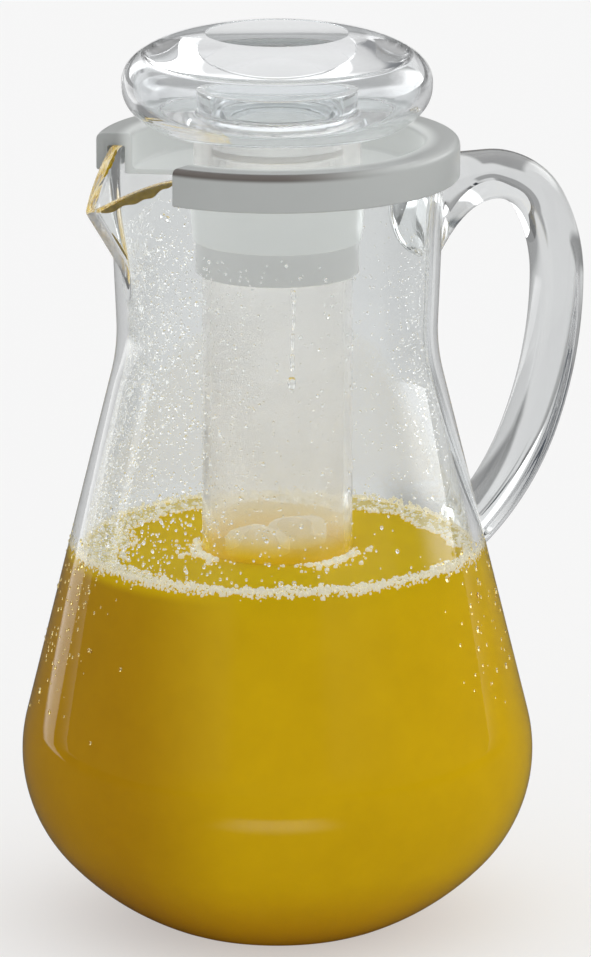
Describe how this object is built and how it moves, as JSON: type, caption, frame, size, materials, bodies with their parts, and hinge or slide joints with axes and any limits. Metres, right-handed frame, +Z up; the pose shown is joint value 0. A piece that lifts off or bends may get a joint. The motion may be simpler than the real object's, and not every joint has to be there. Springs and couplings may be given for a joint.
{
  "type": "pitcher with ice core",
  "caption": "Clear waisted pitcher with beak spout and bar handle, a grey lift-off lid with a pouring gap, a lift-out ice tube and a clear mushroom knob that stops the tube.",
  "frame": {"origin": "centre of the flat foot, on the table, on the axis of the vessel", "axes": "+Z up along the vessel's axis, +X toward the handle, -X toward the spout, +Y across"},
  "size_m": [0.1835, 0.1598, 0.2829],
  "materials": {
    "clear_body": "clear gloss",
    "clear_handle": "clear gloss",
    "juice": "opaque liquid",
    "lid_grey": "gloss",
    "collar_grey": "gloss",
    "clear_tube": "clear gloss",
    "ice": "melting ice",
    "clear_knob": "clear gloss",
    "clear_base": "clear gloss",
    "seal": "soft"
  },
  "bodies": {
    "pitcher": {"pitcher_body": "clear_body", "handle": "clear_handle", "juice": "juice"},
    "lid": {"lid_cover": "lid_grey", "tube_collar": "collar_grey"},
    "core": {"ice_tube": "clear_tube", "ice_core": "ice"},
    "knob": {"knob_dome": "clear_knob", "knob_base": "clear_base", "knob_seal": "seal"}
  },
  "joints": [
    {"name": "lid_lift", "type": "slide", "parent": "pitcher", "child": "lid", "axis": [0, 0, 1], "range_m": [0, 0.215]},
    {"name": "core_lift", "type": "slide", "parent": "lid", "child": "core", "axis": [0, 0, 1], "range_m": [0, 0.215]},
    {"name": "knob_pull", "type": "slide", "parent": "core", "child": "knob", "axis": [0, 0, 1], "range_m": [0, 0.03]}
  ]
}
